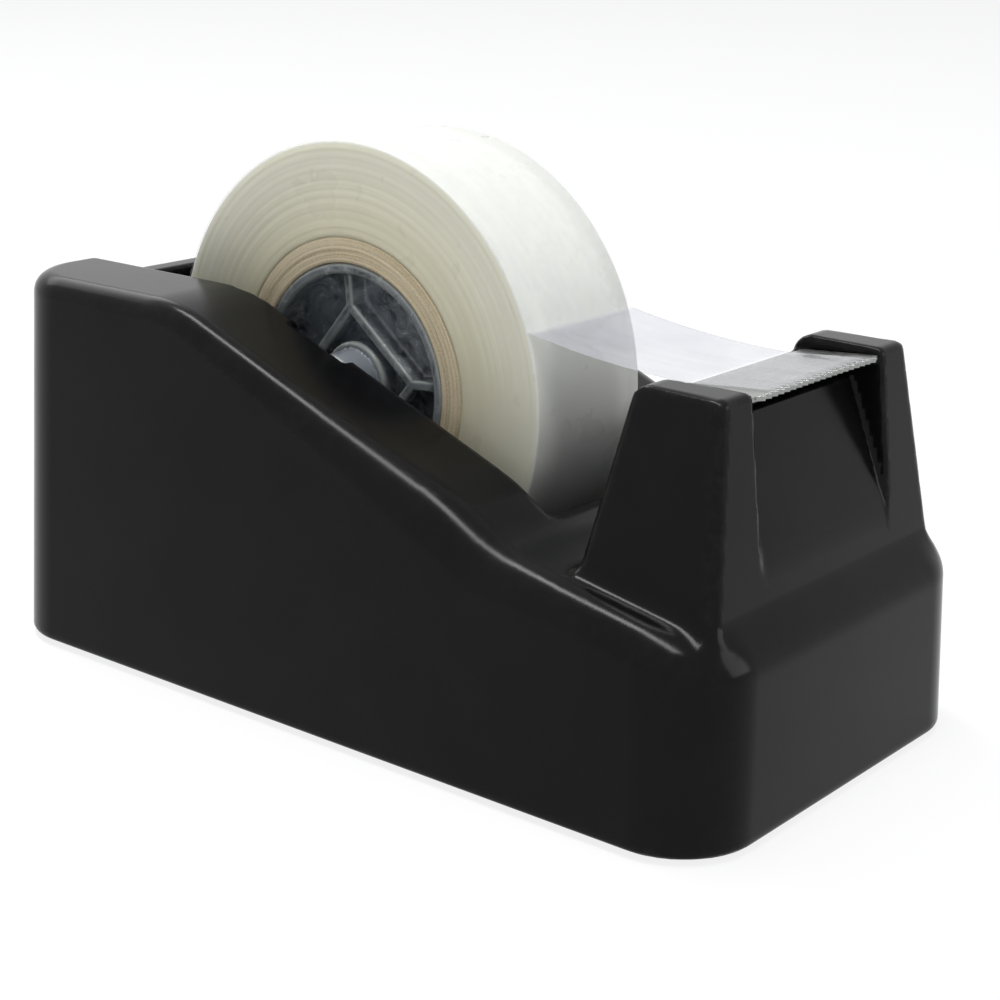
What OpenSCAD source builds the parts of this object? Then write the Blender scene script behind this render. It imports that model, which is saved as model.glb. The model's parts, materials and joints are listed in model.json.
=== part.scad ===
// Desktop tape dispenser. A weighted base has an open well for one roll of tape and
// a tower that carries a toothed cutter plate between two cheeks. The roll sits on a
// two-piece hub that spins on a spindle, and the spindle drops into two grooves.
//
// X runs across the base, -Y points to the cutter end, Z is up. The origin is on the
// table, under the middle of the base.

/* [Base] */
// Width of the base at its foot
base_w = 53.1; // [50:0.1:58]
// Length of the base at its foot
base_l = 100.6; // [98:0.1:106]
// Height of the rear crest above the bottom of the shell
crest_h = 43.3; // [42:0.1:45]
// Radius of the base's corners in plan
corner_r = 8.8; // [6:0.1:10]
// Inward lean of the side, front and rear walls, in degrees
draft = 1.9; // [0.5:0.1:3]
// Wall thickness of the moulded shell
wall = 2.2; // [1.8:0.1:2.6]
// Gap between the table and the bottom of the shell
foot_gap = 0.6; // [0.3:0.1:1]

/* [Slope] */
// Where the flat crest ends and the slope begins, along Y
crest_end = 25.6; // [22:0.1:28]
// Fall of the upper slope, in degrees
slope_a = 21; // [19:0.5:23]
// Fall of the slope where it meets the deck, in degrees
steep_a = 28; // [26:0.5:30]
// Fall of the deck in front of the well, in degrees
deck_a = 10; // [8:0.5:12]
// Radius of the bend from the crest into the slope
crest_r = 23.6; // [18:0.1:28]
// Radius of the bend from the slope into the deck
dip_r = 14; // [10:0.5:18]
// Radius of the rounded nose at the front of the deck
nose_r = 3.6; // [2.5:0.1:4.5]

/* [Well] */
// Width of the well between its side walls
well_w = 24.8; // [23.8:0.1:26]
// Radius of the round floor under the roll
well_r = 28.8; // [28:0.1:30]
// Rear edge of the well, along Y
well_rear = 46; // [45:0.1:46.5]
// Thickness of the well's walls
well_wall = 2.4; // [2:0.1:2.6]
// Rise of the ramps before and behind the round floor, in degrees
ramp_a = 50; // [45:1:52]

/* [Tower] */
// Height of the cheeks above the bottom of the shell
cheek_h = 42.6; // [41:0.1:44]
// Half width of the tower at its top front corners
top_front_x = 17.4; // [16.5:0.1:18]
// Half width of the tower at its top rear corners
top_rear_x = 16.7; // [15.5:0.1:17]
// Front face of the tower at its top, along Y
top_front_y = -44.3; // [-45:0.1:-43.5]
// Rear face of the tower at its top, along Y
top_rear_y = -33.7; // [-35:0.1:-33.5]
// Half width of the tower at its front foot
foot_front_x = 21.3; // [20.5:0.1:22]
// Half width of the tower at its rear foot
foot_rear_x = 21.9; // [21:0.1:22.8]
// Front face of the tower at its foot, along Y
foot_front_y = -47.1; // [-47.5:0.1:-46.5]
// Rear face of the tower at its foot, along Y
foot_rear_y = -30.1; // [-31:0.1:-29.5]
// Distance between the cheeks
cheek_gap = 24.2; // [23.5:0.1:24.6]
// Depth of the front recess under the cutter's edge
recess_d = 3.5; // [2.5:0.1:4]

/* [Cutter] */
// Thickness of the steel cutter plate
plate_t = 0.5; // [0.4:0.1:0.8]
// Distance between the cutter's teeth
tooth_pitch = 1.1; // [0.9:0.1:1.4]
// Depth of the cutter's teeth
tooth_d = 0.8; // [0.6:0.1:1]

/* [Roll] */
// Width of the tape
tape_w = 18; // [17.5:0.1:19]
// Radius of the full roll
roll_r = 26.6; // [20:0.1:27]
// Inner radius of the cardboard core, for a one inch hub
core_in_r = 13.3; // [13:0.05:13.4]
// Wall thickness of the cardboard core
core_wall = 2.8; // [2.5:0.1:3.2]
// Spindle axis along Y
axis_y = 9.8; // [9.5:0.1:10]
// Height of the spindle axis above the bottom of the shell
axis_h = 33.7; // [33.6:0.1:34.5]

/* [Hub] */
// Radius of the spindle
spindle_r = 2.5; // [2:0.1:3]
// Radial clearance of everything that turns or drops onto the spindle
running_gap = 0.05; // [0.02:0.01:0.1]
// How far the spindle's ends reach into the grooves of the well's walls
groove_d = 1.4; // [1:0.1:1.6]
// Width of the grooves where they open at the top
groove_mouth = 8.6; // [6:0.1:10]
// Depth of the hub's end faces below its rim
face_d = 3; // [2:0.1:4]
// Turn of the hub's square rib frame at rest, in degrees
rib_turn = 39; // [0:1:89]

/* [Hidden] */
$fn = 64;
soft_fn = 32;            // for discs inside a hull
eps = 0.01;
big = 200;

black = "#1d1d1f";
steel = "#b9bcbd";
smoke = "#6e7478";

shell_z = foot_gap;                      // bottom rim of the shell
crest_z = shell_z + crest_h;
axis_z = shell_z + axis_h;
lean = tan(draft);

pad_t = 1.5;                             // foam under the base plate
plate_z = pad_t;
base_plate_t = 1.8;
plate_gap = 0.2;                         // base plate to shell, all round
cavity_z = plate_z + base_plate_t;
fill_gap = 0.15;                         // ballast to shell

screw_r = 1.15;
screw_hole_r = 1.2;
screw_l = 9;
screw_head_r = 2.3;
screw_head_h = 1.1;
boss_r = 3;
boss_x = 19.6;
boss_ys = [-37.5, 36];

slope_l = 33.1;                          // straight run down the upper slope
shoulder_r = 49;                         // bend from the upper slope into the steep run
steep_l = 2.6;                           // straight run above the bend into the deck
rear_r = 2.2;                            // rounded edge at the rear of the crest

well_l = 36;                             // reach of the front ramp, past the deck

foot_z = shell_z + 20;                   // where the tower's foot is measured
top_z = shell_z + cheek_h;
tower_r = 1.2;                           // the tower's upright edges
recess_foot_z = shell_z + 24.5;          // lower end of the front recess
recess_foot_d = 0.2;                     // its depth there
lip_h = 0.6;                             // edge of the platform under the teeth
overhang_h = 1.8;                        // underside of the platform, below its top
fill_z = shell_z + 36;                   // level that the ballast is poured to

plug_y = 8;
plug_x = 19.6;
plug_r = 3.6;
plug_flange_r = 4.6;
plug_flange_t = 0.7;
plug_l = 3.4;

cutter_rear_z = shell_z + 41.2;          // top of the plate at its rear edge
cutter_front_z = shell_z + 42.0;         // top of the plate at its teeth
cutter_rear_y = top_rear_y - 0.9;
cutter_front_y = top_front_y + 0.4;
hook_l = 3;                              // rear leg of the plate, in its slot
seat_d = plate_t + 0.02;                 // platform below the top of the plate

core_r = core_in_r + core_wall;
hub_r = core_in_r - running_gap;
hub_half_w = tape_w / 2 - 0.2;
rim_t = 1.2;
web_t = 1.2;
hub_boss_r = 4.4;
frame_half = 6.4;                        // half side of the square rib frame
rib_t = 1.1;
hub_end_gap = 0.4;                       // hub boss to well wall

tail_t = 0.2;
tail_gap = 0.3;                          // tail to roll, before it leaves it
peel_a = 21;                             // where the tape leaves the roll, above level

// ---- outline helpers: [y, z] points of the side view ----

// Point on a circle, with the angle counted up from the side towards the cutter end
function rim_point(c, r, s) = [c[0] - r * sin(s), c[1] + r * cos(s)];

// Convex bend of radius r, from fall a to fall b, that starts at point p
function crest_bend(p, r, a, b, n = 12) =
    let (c = [p[0] + r * sin(a), p[1] - r * cos(a)])
    [for (i = [0:n]) rim_point(c, r, a + (b - a) * i / n)];

// Concave bend of radius r, from fall a to fall b, that starts at point p
function dip_bend(p, r, a, b, n = 12) =
    let (c = [p[0] - r * sin(a), p[1] + r * cos(a)])
    [for (i = [0:n]) rim_point(c, -r, a + (b - a) * i / n)];

// Point a distance l down a fall of a degrees
function downhill(p, l, a) = [p[0] - l * cos(a), p[1] - l * sin(a)];

// Where two lines meet, each given as a unit normal and its distance from the origin
function meet(n1, d1, n2, d2) =
    let (det = n1[0] * n2[1] - n1[1] * n2[0])
    [(d1 * n2[1] - d2 * n1[1]) / det, (n1[0] * d2 - n2[0] * d1) / det];

function last(list) = list[len(list) - 1];

// Top outline of the base, from the rear wall over crest, slope and deck to the nose
function top_outline() =
    let (
        wall_n = [cos(draft), sin(draft)],
        rear_c = meet([0, 1], crest_z - rear_r,
                      wall_n, wall_n * [base_l / 2, shell_z] - rear_r),
        rear = [for (i = [0:8]) rim_point(rear_c, rear_r, -(90 - draft) * (1 - i / 8))],
        bend = crest_bend([crest_end, crest_z], crest_r, 0, slope_a),
        shoulder = crest_bend(downhill(last(bend), slope_l, slope_a),
                               shoulder_r, slope_a, steep_a),
        dip = dip_bend(downhill(last(shoulder), steep_l, steep_a), dip_r,
                       steep_a, deck_a),
        deck_n = [-sin(deck_a), cos(deck_a)],
        nose_n = [-cos(draft), sin(draft)],
        nose_c = meet(deck_n, deck_n * last(dip) - nose_r,
                      nose_n, nose_n * [-base_l / 2, shell_z] - nose_r),
        nose = [for (i = [0:8])
                rim_point(nose_c, nose_r, deck_a + (90 - draft - deck_a) * i / 8)]
    )
    concat(rear, bend, shoulder, dip, nose);

// Side view as a closed outline: the top runs on past both ends, down to the table
module side_outline() {
    top = top_outline();
    polygon(concat([[base_l, -1], [base_l, top[0][1] - 1]], top,
                   [[-base_l, last(top)[1] - 1], [-base_l, -1]]));
}

// Extrudes a [y, z] outline across X, centred
module across(w) {
    rotate([90, 0, 90])
        linear_extrude(height = w, center = true)
            children();
}

// A cylinder whose axis is along X, between two X positions
module rod(r, x0, x1) {
    translate([x0, 0, 0])
        rotate([0, 90, 0])
            cylinder(r = r, h = x1 - x0);
}

// Puts its children on the spindle's axis
module on_axis() {
    translate([0, axis_y, axis_z]) children();
}

// ---- base ----

// Plan of the base at height z, pulled in by inset
module plan(z, inset) {
    shrink = inset + lean * (z - shell_z);
    r = corner_r - inset;
    for (x = [-1, 1], y = [-1, 1])
        translate([x * (base_w / 2 - shrink - r), y * (base_l / 2 - shrink - r), z])
            cylinder(r = r, h = eps, $fn = soft_fn);
}

// Block with leaning walls and round corners
module base_block(z0, z1, inset) {
    hull() {
        plan(z0, inset);
        plan(z1 - eps, inset);
    }
}

// Outer form of the base without the tower
module base_form() {
    intersection() {
        base_block(shell_z, crest_z + 1, 0);
        across(base_w + 2) side_outline();
    }
}

// Space inside the base, open at the bottom
module base_cavity() {
    intersection() {
        base_block(shell_z - 1, crest_z + 1, wall);
        translate([0, 0, -wall]) across(base_w + 2) side_outline();
    }
}

// Roll well as a solid, grown by g on every side: a round floor under the roll, and a
// ramp before and behind it
module well_form(g) {
    r = well_r + g;
    w = well_w + 2 * g;
    reach = [r * sin(ramp_a), -r * cos(ramp_a)];     // from the axis to a ramp's foot
    rise = tan(ramp_a);
    rear = well_rear + g - axis_y;
    on_axis() {
        rod(r, -w / 2, w / 2);
        across(w)
            polygon([[0, 0], reach, [rear, reach[1] + (rear - reach[0]) * rise],
                     [rear, big], [-well_l, big],
                     [-well_l, reach[1] + (well_l - reach[0]) * rise],
                     [-reach[0], reach[1]]]);
    }
}

// ---- tower ----

// A size of the tower at height z, from its values at the foot and at the top
function on_tower(z, foot, top) = foot + (top - foot) * (z - foot_z) / (top_z - foot_z);

// Outer form of the tower between heights z0 and z1, with upright edges of radius r
module tower_form(z0, z1, r) {
    hull()
        for (z = [z0, z1], x = [-1, 1])
            for (end = [[foot_front_x, top_front_x, foot_front_y, top_front_y, 1],
                        [foot_rear_x, top_rear_x, foot_rear_y, top_rear_y, -1]])
                translate([x * (on_tower(z, end[0], end[1]) - r),
                           on_tower(z, end[2], end[3]) + end[4] * r, z])
                    cylinder(r = r, h = eps, $fn = soft_fn);
}

// Space between the cheeks, above the platform that carries the cutter plate
module cheek_space() {
    across(cheek_gap)
        polygon([[cutter_rear_y, cutter_rear_z - seat_d],
                 [cutter_front_y, cutter_front_z - seat_d],
                 [cutter_front_y - 10, cutter_front_z - seat_d],
                 [cutter_front_y - 10, top_z + 5], [top_rear_y + 5, top_z + 5],
                 [top_rear_y + 5, cutter_rear_z - seat_d]]);
}

// Front recess between the cheeks: deepest under the cutter, flush near the foot
module front_recess() {
    back_y = top_front_y + recess_d;
    platform_z = cutter_front_z - seat_d;
    across(cheek_gap)
        polygon([[back_y, platform_z - overhang_h],
                 [back_y, platform_z - 2 * lip_h],
                 [cutter_front_y + lip_h, platform_z - lip_h],
                 [cutter_front_y, platform_z + eps],
                 [-base_l / 2, cutter_front_z],
                 [-base_l / 2, recess_foot_z],
                 [foot_front_y + recess_foot_d, recess_foot_z]]);
}

// Hollow of the tower, behind the recess
module tower_cavity() {
    low = [36, 11, 1];
    high = [21, 3, 1];
    hull() {
        translate([-low[0] / 2, foot_front_y + wall + 1.2, foot_z - 4]) cube(low);
        translate([-high[0] / 2, top_front_y + recess_d + 2, top_z - 5.2]) cube(high);
    }
}

// Grooves that guide and hold the spindle's ends, open at the top
module spindle_grooves() {
    r = spindle_r + running_gap;
    reach = well_w / 2 + groove_d;
    mouth = groove_mouth / 2;
    throat_z = 1.5;                       // the lead-in narrows from mouth_z to here
    mouth_z = 5;
    on_axis() {
        rod(r, -reach, reach);
        across(2 * reach)
            polygon([[-r, 0], [r, 0], [r, throat_z], [mouth, mouth_z], [mouth, big],
                     [-mouth, big], [-mouth, mouth_z], [-r, throat_z]]);
    }
}

// Screw bosses that hang from the roof of the cavity
module screw_bosses() {
    for (x = [-boss_x, boss_x], y = boss_ys)
        translate([x, y, cavity_z]) cylinder(r = boss_r, h = crest_z);
}

module housing() {
    color(black)
    difference() {
        union() {
            base_form();
            tower_form(foot_z - 4, top_z, tower_r);
        }
        difference() {
            union() {
                base_cavity();
                tower_cavity();
            }
            intersection() {
                well_form(well_wall);
                translate([-big / 2, -big / 2, cavity_z + 0.1]) cube(big);
            }
            screw_bosses();
        }
        well_form(0);
        cheek_space();
        front_recess();
        spindle_grooves();
        cutter_slot();
        for (x = [-boss_x, boss_x], y = boss_ys)
            translate([x, y, cavity_z - 1]) cylinder(r = screw_hole_r, h = screw_l + 1);
    }
}

// ---- bottom of the base ----

module base_plate() {
    color("#2a2a2c")
    difference() {
        base_block(plate_z, cavity_z - eps, wall + plate_gap);
        for (x = [-boss_x, boss_x], y = boss_ys)
            translate([x, y, 0]) {
                cylinder(r = screw_hole_r + 0.1, h = big);
                translate([0, 0, plate_z - eps]) screw_cone(0.05);
            }
        translate([plug_x, plug_y, 0]) {
            cylinder(r = plug_r, h = big);
            translate([0, 0, plate_z - 1]) cylinder(r = plug_flange_r, h = plug_flange_t + 1);
        }
    }
}

// Countersunk head of a base screw, grown by g
module screw_cone(g) {
    cylinder(r1 = screw_head_r + g, r2 = screw_r + g, h = screw_head_h);
}

module base_screws() {
    color(steel)
    for (x = [-boss_x, boss_x], y = boss_ys)
        translate([x, y, plate_z])
            difference() {
                union() {
                    screw_cone(0);
                    cylinder(r = screw_r, h = screw_l);
                }
                for (turn = [0, 90])
                    rotate(turn)
                        translate([-1.2, -0.25, -eps]) cube([2.4, 0.5, 0.7]);
            }
}

module fill_plug() {
    color("#3a3a3c")
    translate([plug_x, plug_y, plate_z]) {
        cylinder(r = plug_flange_r - 0.05, h = plug_flange_t);
        cylinder(r = plug_r - 0.05, h = plug_l);
    }
}

// Sand and cement that fills the shell around the well
module ballast() {
    color("#8c8a84")
    difference() {
        intersection() {
            base_block(cavity_z + 0.1, crest_z, wall + fill_gap);
            translate([0, 0, -wall - fill_gap]) across(base_w) side_outline();
            translate([-big / 2, -big / 2, 0]) cube([big, big, fill_z]);
        }
        well_form(well_wall + fill_gap);
        for (x = [-boss_x, boss_x], y = boss_ys)
            translate([x, y, 0]) cylinder(r = boss_r + fill_gap, h = big);
        translate([plug_x, plug_y, 0]) cylinder(r = plug_r + 0.4, h = plate_z + plug_l + 0.4);
    }
}

// Soft foam that the dispenser stands on
module foot_pad() {
    color("#2e2e30")
    base_block(0, pad_t, wall + 1);
}

// ---- cutter ----

function cutter_a() = atan2(cutter_front_z - cutter_rear_z, cutter_rear_y - cutter_front_y);

// Frame of the cutter plate: x across, y back along the plate, z out of its top face
module on_plate() {
    translate([0, cutter_front_y, cutter_front_z])
        rotate([-cutter_a(), 0, 0])
            children();
}

plate_l = norm([cutter_rear_y - cutter_front_y, cutter_front_z - cutter_rear_z]);

module cutter_plate() {
    half = cheek_gap / 2 - 0.1;
    teeth = floor(2 * (half - 0.6) / tooth_pitch);
    first = -teeth * tooth_pitch / 2;
    edge = [for (i = [0:teeth - 1])
            each [[first + i * tooth_pitch, 0], [first + (i + 0.5) * tooth_pitch, -tooth_d]]];
    color(steel)
    on_plate() {
        translate([0, 0, -plate_t])
            linear_extrude(height = plate_t)
                polygon(concat([[half, 0], [half, plate_l], [-half, plate_l], [-half, 0]],
                               edge, [[-first, 0]]));
        translate([-half + 2, plate_l - plate_t, -hook_l])
            cube([2 * half - 4, plate_t, hook_l]);
    }
}

// Slot in the platform for the cutter's rear leg
module cutter_slot() {
    half = cheek_gap / 2 - 2;
    on_plate()
        translate([-half, plate_l - plate_t - 0.05, -hook_l - 0.1])
            cube([2 * half, plate_t + 5, hook_l + 1]);
}

// ---- spindle, hub and roll ----

module spindle() {
    end = well_w / 2 + groove_d - 0.1;
    color("#c9cbcc")
    on_axis()
        difference() {
            rod(spindle_r, -end, end);
            for (x = [-1, 1])
                translate([x * (end + 0.3), 0, 0])
                    rotate([0, 90, 0]) cylinder(r = 1, h = 1.6, center = true);
        }
}

// One half of the hub, on the +X side of its joint in the middle of the roll
module hub_half() {
    face_x = hub_half_w - face_d;
    boss_end = well_w / 2 - hub_end_gap;
    on_axis() {
        difference() {
            union() {
                difference() {
                    rod(hub_r, 0, hub_half_w);
                    rod(hub_r - rim_t, -1, hub_half_w + 1);
                }
                rod(hub_r - rim_t + eps, face_x - web_t, face_x);
                rod(hub_boss_r, 0, hub_half_w - 0.6);
                rod(spindle_r + 1.1, 0, boss_end);
                hub_ribs(face_x - eps, hub_half_w - 0.8);
            }
            rod(spindle_r + running_gap, -1, boss_end + 1);
        }
    }
}

// Square frame of ribs on the hub's face, tied to the rim by four short spokes
module hub_ribs(x0, x1) {
    diag = frame_half * sqrt(2);
    for (i = [0:3])
        rotate([rib_turn + 90 * i, 0, 0]) {
            translate([x0, frame_half - rib_t, -frame_half])
                cube([x1 - x0, rib_t, 2 * frame_half]);
            rotate([45, 0, 0])
                translate([x0, diag - 1, -rib_t / 2])
                    cube([x1 - x0, hub_r - rim_t - diag + 1.2, rib_t]);
        }
}

module hub_left() {
    color(smoke)
    mirror([1, 0, 0]) hub_half();
}

module hub_right() {
    color(smoke)
    hub_half();
}

module tape_core() {
    color("#b9a77c")
    on_axis()
        difference() {
            rod(core_r - eps, -tape_w / 2, tape_w / 2);
            rod(core_in_r, -tape_w, tape_w);
        }
}

module tape_roll() {
    color("#dcdccb")
    on_axis()
        difference() {
            rod(roll_r, -tape_w / 2, tape_w / 2);
            rod(core_r, -tape_w, tape_w);
        }
}

// Free end of the tape, from where it leaves the roll to the cutter's teeth. It sags
// on a smooth curve from the roll to the rear edge of the cutter plate.
module tape_tail() {
    start = [axis_y - (roll_r + tail_gap) * cos(peel_a),
             axis_z + (roll_r + tail_gap) * sin(peel_a)];
    lift = 0.1;
    rear = [cutter_rear_y, cutter_rear_z + lift];
    front = [cutter_front_y, cutter_front_z + lift];
    steps = 12;
    span = [for (i = [0:steps])
            let (t = i / steps, drop = start[1] - rear[1])
            [start[0] + (rear[0] - start[0]) * t, rear[1] + drop * pow(1 - t, 2)]];
    lower = concat(span, [front]);
    upper = [for (i = [len(lower) - 1:-1:0]) lower[i] + [0, tail_t]];
    color("#d5d8da")
    across(tape_w)
        polygon(concat(lower, upper));
}

housing();
base_plate();
base_screws();
fill_plug();
ballast();
foot_pad();
cutter_plate();
spindle();
tape_tail();
hub_left();
hub_right();
tape_core();
tape_roll();
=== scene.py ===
"""Desktop tape dispenser: looks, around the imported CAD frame.

The moulded pieces are written as distance fields in millimetres, turned into fine meshes
and given exact normals. The tape, core and cutter are lofted. Every material is made of
nodes, in object space.
"""

import json
import math

import bpy
import numpy as np
from mathutils import Matrix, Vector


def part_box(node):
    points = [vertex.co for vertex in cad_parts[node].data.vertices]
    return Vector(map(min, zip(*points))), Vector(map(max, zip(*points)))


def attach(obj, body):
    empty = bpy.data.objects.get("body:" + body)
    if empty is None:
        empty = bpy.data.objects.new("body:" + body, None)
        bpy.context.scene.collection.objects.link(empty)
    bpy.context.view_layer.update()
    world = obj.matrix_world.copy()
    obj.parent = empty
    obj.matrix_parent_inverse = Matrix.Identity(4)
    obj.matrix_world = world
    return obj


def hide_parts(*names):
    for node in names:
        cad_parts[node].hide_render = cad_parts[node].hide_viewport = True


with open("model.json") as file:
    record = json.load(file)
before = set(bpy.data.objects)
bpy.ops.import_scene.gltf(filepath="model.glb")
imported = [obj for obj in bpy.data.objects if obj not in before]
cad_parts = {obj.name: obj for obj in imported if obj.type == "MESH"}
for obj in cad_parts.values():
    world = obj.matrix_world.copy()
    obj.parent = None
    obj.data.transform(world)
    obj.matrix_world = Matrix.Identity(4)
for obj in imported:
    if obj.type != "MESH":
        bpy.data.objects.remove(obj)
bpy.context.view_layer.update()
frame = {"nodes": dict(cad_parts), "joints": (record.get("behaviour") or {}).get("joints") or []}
MM = 0.001


def box_mm(node):
    lo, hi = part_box(node)
    return np.array(lo) / MM, np.array(hi) / MM


# ---------------------------------------------------------------- sizes, in millimetres

SHELL_LO, SHELL_HI = box_mm("housing")
ROLL_LO, ROLL_HI = box_mm("tape_roll")
CORE_LO, CORE_HI = box_mm("tape_core")
PLATE_LO, PLATE_HI = box_mm("cutter_plate")
HUB_LO, HUB_HI = box_mm("hub_right")
SHELL_Z = SHELL_LO[2]
CREST_Z = SHELL_HI[2]
HALF_W, HALF_L = SHELL_HI[0], SHELL_HI[1]
CORNER_R = 8.8
LEAN = math.tan(math.radians(1.9))
WALL = 2.2
AXIS = np.array([j for j in frame["joints"] if j["name"] == "roll_spin"][0]["pos_m"]) / MM

CREST_END = 25.6
SLOPE_A, STEEP_A, DECK_A = (math.radians(a) for a in (21, 28, 10))

WELL_HALF = 12.4
WELL_R = 28.8
WELL_REAR = 46.0
WELL_FRONT = AXIS[1] - 36
WELL_WALL = 2.4
RAMP_A = math.radians(50)
CAVITY_Z = 3.3

ROLL_R = ROLL_HI[2] - AXIS[2]
CORE_R = CORE_HI[2] - AXIS[2]

TOWER_FOOT_Z = SHELL_Z + 20
TOWER_TOP_Z = SHELL_Z + 42.6
GAP_HALF = 12.1


# ---------------------------------------------------------------- distance fields


def meet_round(a, b, r):
    """Inside both a and b, with the edge between them rounded to radius r."""
    u, v = np.maximum(r + a, 0), np.maximum(r + b, 0)
    return np.minimum(np.maximum(a, b), -r) + np.hypot(u, v)


def join_round(a, b, r):
    """Inside a or b, with a hollow fillet of radius r where they meet."""
    return -meet_round(-a, -b, r)


def cut_round(a, b, r):
    """a without b, with the cut's rim rounded to radius r."""
    return meet_round(a, -b, r)


def top_line():
    """Top of the base as y and z lists, front to rear, without its rounded ends."""
    y, z = [90.0, CREST_END], [CREST_Z, CREST_Z]

    def bend(r, a, b):
        """A bend of radius r, convex where r is positive, from fall a to fall b."""
        cy, cz = y[-1] + r * math.sin(a), z[-1] - r * math.cos(a)
        for s in np.linspace(a, b, 24)[1:]:
            y.append(cy - r * math.sin(s))
            z.append(cz + r * math.cos(s))

    def run(length, a):
        y.append(y[-1] - length * math.cos(a))
        z.append(z[-1] - length * math.sin(a))

    bend(23.6, 0, SLOPE_A)
    run(33.1, SLOPE_A)
    bend(49, SLOPE_A, STEEP_A)
    run(2.6, STEEP_A)
    bend(-14, STEEP_A, DECK_A)
    run(40, DECK_A)
    return np.array(y[::-1]), np.array(z[::-1])


TOP_Y, TOP_Z = top_line()
_even = np.arange(-70, 80, 0.25)
_height = np.interp(_even, TOP_Y, TOP_Z)
_fall = np.gradient(_height, _even)
for _ in range(6):
    _fall = np.convolve(np.pad(_fall, 1, "edge"), [0.25, 0.5, 0.25], "valid")


def top_field(y, z):
    """Distance above the top surface of the base."""
    return (z - np.interp(y, _even, _height)) / np.hypot(1, np.interp(y, _even, _fall))


def wall_field(x, y, z):
    """Distance outside the leaning walls, round corners included."""
    inset = LEAN * (z - SHELL_Z)
    qx = np.abs(x) - (HALF_W - inset - CORNER_R)
    qy = np.abs(y) - (HALF_L - inset - CORNER_R)
    return np.hypot(np.maximum(qx, 0), np.maximum(qy, 0)) + np.minimum(np.maximum(qx, qy), 0) - CORNER_R


def well_field(x, y, z):
    """The well for the roll: a round floor under the roll, and a ramp on either side."""
    py, pz = y - AXIS[1], z - AXIS[2]
    off = np.arctan2(np.abs(py), -pz)
    ramp = np.abs(py) * math.sin(RAMP_A) - pz * math.cos(RAMP_A)
    floor = np.where(off < RAMP_A, np.hypot(py, pz), ramp) - WELL_R
    side = meet_round(floor, np.maximum(y - WELL_REAR, WELL_FRONT - y), 1.5)
    return meet_round(side, np.abs(x) - WELL_HALF, 0.8)


def groove_field(x, y, z):
    """The two grooves for the spindle's ends, with a V lead-in."""
    r, mouth = 2.55, 4.3
    py, pz = np.abs(y - AXIS[1]), z - AXIS[2]
    slot = np.maximum(py - np.interp(pz, [1.5, 5], [r, mouth]), -pz)
    return np.maximum(np.minimum(np.hypot(py, pz) - r, slot), np.abs(x) - WELL_HALF - 1.4)


def between(z, foot, top):
    return foot + (top - foot) * (z - TOWER_FOOT_Z) / (TOWER_TOP_Z - TOWER_FOOT_Z)


def tower_field(x, y, z):
    """The tower with its two cheeks, before the recesses."""
    z_foot = np.maximum(z, TOWER_FOOT_Z)
    front, rear = between(z_foot, -47.1, -44.3), between(z_foot, -30.1, -33.7)
    share = np.clip((y - front) / (rear - front), -0.5, 1.5)
    half = between(z_foot, 21.3, 17.4) * (1 - share) + between(z_foot, 21.9, 16.7) * share
    side = (np.abs(x) - half) * 0.984
    body = meet_round(side, front - y, 1.3)
    body = meet_round(body, y - rear, 1.1)
    ends = meet_round(z - TOWER_TOP_Z, y - rear, 2.0)
    body = meet_round(body, z - TOWER_TOP_Z, 0.7)
    return np.maximum(np.maximum(body, ends), TOWER_FOOT_Z - 4 - z)


def cheek_space_field(x, y, z):
    """Space between the cheeks, above the platform under the cutter plate."""
    floor = np.interp(y, [-43.9, -34.6], [PLATE_HI[2] - 0.55, SHELL_Z + 40.7])
    half = GAP_HALF + np.interp(y, [-44, -34], [0, 0.6])
    return np.maximum(floor - z, np.abs(x) - half)


def recess_field(x, y, z):
    """Front recess between the cheeks, deepest under the cutter's edge."""
    face = np.interp(z, [25.1, 39.9, 40.5], [-46.9, -40.9, -38.8])
    lip = np.interp(y, [-60, -43.9, -43.2, -38], [42.2, 42.05, 41.5, 41.2])
    flat = np.maximum((y - face) * 0.93, (z - lip) * 0.95)
    return meet_round(np.maximum(flat, 25.1 - z), np.abs(x) - GAP_HALF, 0.5)


EDGE_Y = [-50, -31, -21, -13, 0, 20]
EDGE_R = [3.6, 3.6, 4.7, 4.7, 3.2, 2.3]


def outer_field(x, y, z):
    """Outside of the housing, with its well and tower."""
    wall, top = wall_field(x, y, z), top_field(y, z)
    body = meet_round(wall, top, np.interp(y, EDGE_Y, EDGE_R))
    body = meet_round(body, SHELL_Z - z, 0.7)
    body = join_round(body, tower_field(x, y, z), 1.5)
    body = cut_round(body, well_field(x, y, z), np.interp(y, [-22, -17], [1.6, 0.6]))
    body = cut_round(body, groove_field(x, y, z), 0.35)
    body = cut_round(body, cheek_space_field(x, y, z), 0.5)
    return cut_round(body, recess_field(x, y, z), 0.45)


def cavity_field(x, y, z):
    """Space inside the housing: a wall's thickness in, round the well and the bosses."""
    space = meet_round(wall_field(x, y, z) + WALL, top_field(y, z) + WALL, 1)
    keep = np.maximum(well_field(x, y, z) - WELL_WALL, CAVITY_Z + 0.1 - z)
    for bx in (-19.6, 19.6):
        for by in (-37.5, 36):
            keep = np.minimum(keep, np.maximum(np.hypot(x - bx, y - by) - 3, CAVITY_Z - z))
    return np.maximum(space, -keep)


def housing_field(x, y, z):
    return np.maximum(outer_field(x, y, z), -cavity_field(x, y, z))


# ---------------------------------------------------------------- meshes


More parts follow.
